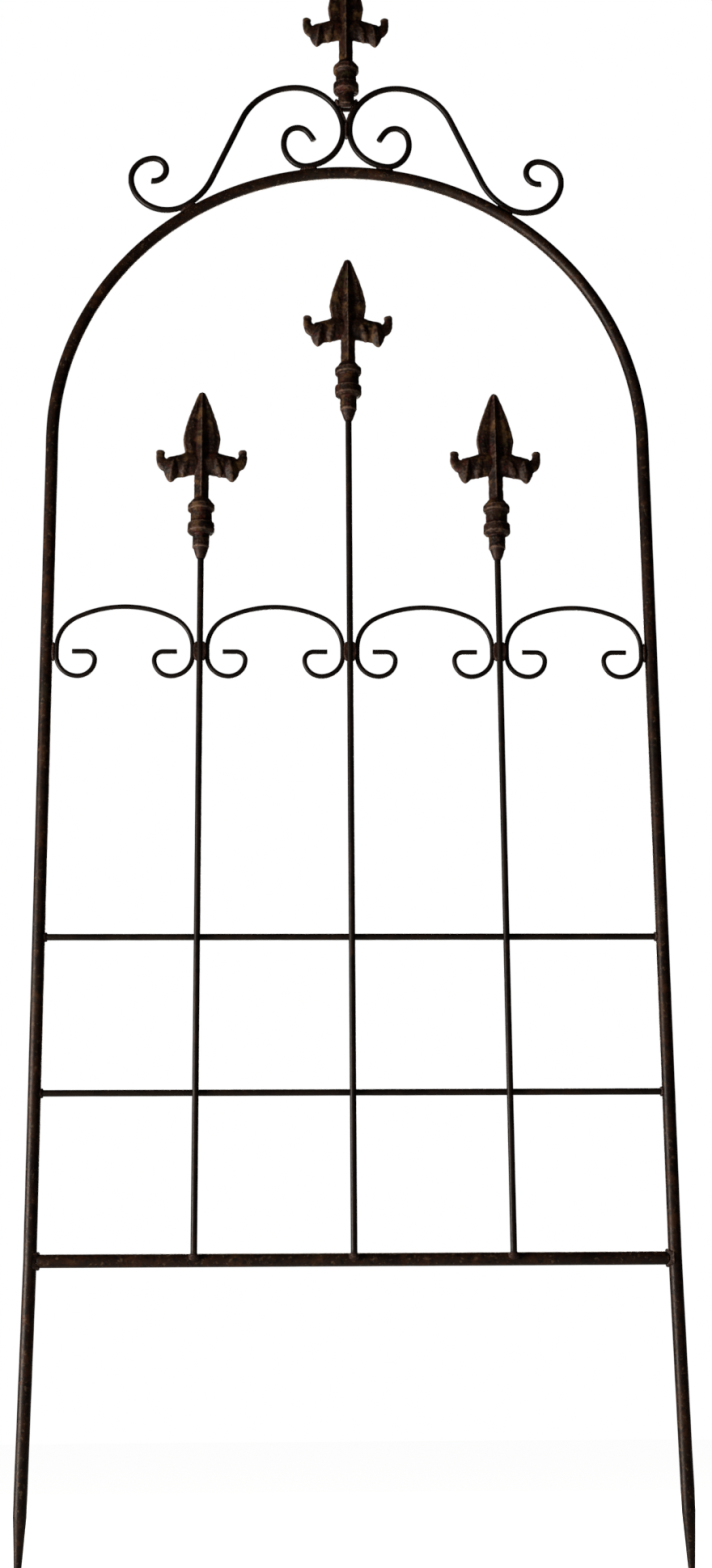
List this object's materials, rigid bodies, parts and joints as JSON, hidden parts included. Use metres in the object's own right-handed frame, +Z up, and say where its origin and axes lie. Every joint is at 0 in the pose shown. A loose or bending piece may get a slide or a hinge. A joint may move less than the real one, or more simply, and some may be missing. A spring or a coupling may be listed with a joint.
{
  "type": "garden trellis",
  "caption": "Arched garden trellis of welded round bar: wire scrolls between uprights, cast spear finials, stakes to push into soil.",
  "frame": {"origin": "on the soil line, midway between the two stakes", "axes": "+Z up along the stakes, +X to the right seen from the front, +Y away from the viewer; the trellis lies in the X-Z plane"},
  "size_m": [0.6288, 0.0339, 1.7031],
  "materials": {
    "bar_steel": "bare mild steel round bar with a dark brown weathered patina, satin",
    "wire_steel": "bare mild steel wire with a near-black patina, satin",
    "cast_iron": "sand-cast iron, brown patina with rust-red and tan patches",
    "weld_metal": "weld bead, rust red-brown, rough"
  },
  "bodies": {
    "root": {"arch_hoop": "bar_steel", "bottom_rail": "bar_steel", "lower_cross_rod": "bar_steel", "upper_cross_rod": "bar_steel", "left_upright": "bar_steel", "centre_upright": "bar_steel", "right_upright": "bar_steel", "c_scroll_1": "wire_steel", "c_scroll_2": "wire_steel", "c_scroll_3": "wire_steel", "c_scroll_4": "wire_steel", "left_crest_scroll": "wire_steel", "right_crest_scroll": "wire_steel", "left_finial": "cast_iron", "centre_finial": "cast_iron", "right_finial": "cast_iron", "top_finial": "cast_iron", "rail_weld_left": "weld_metal", "rail_weld_right": "weld_metal", "lower_cross_weld_left": "weld_metal", "lower_cross_weld_right": "weld_metal", "upper_cross_weld_left": "weld_metal", "upper_cross_weld_right": "weld_metal", "left_upright_foot_weld": "weld_metal", "left_finial_weld": "weld_metal", "centre_upright_foot_weld": "weld_metal", "centre_finial_weld": "weld_metal", "right_upright_foot_weld": "weld_metal", "right_finial_weld": "weld_metal", "c_scroll_1_weld_left": "weld_metal", "c_scroll_1_weld_right": "weld_metal", "c_scroll_2_weld_left": "weld_metal", "c_scroll_2_weld_right": "weld_metal", "c_scroll_3_weld_left": "weld_metal", "c_scroll_3_weld_right": "weld_metal", "c_scroll_4_weld_left": "weld_metal", "c_scroll_4_weld_right": "weld_metal", "left_crest_inner_weld": "weld_metal", "left_crest_outer_weld": "weld_metal", "right_crest_inner_weld": "weld_metal", "right_crest_outer_weld": "weld_metal", "crest_centre_weld": "weld_metal", "top_finial_weld_front": "weld_metal", "top_finial_weld_back": "weld_metal"}
  },
  "joints": []
}
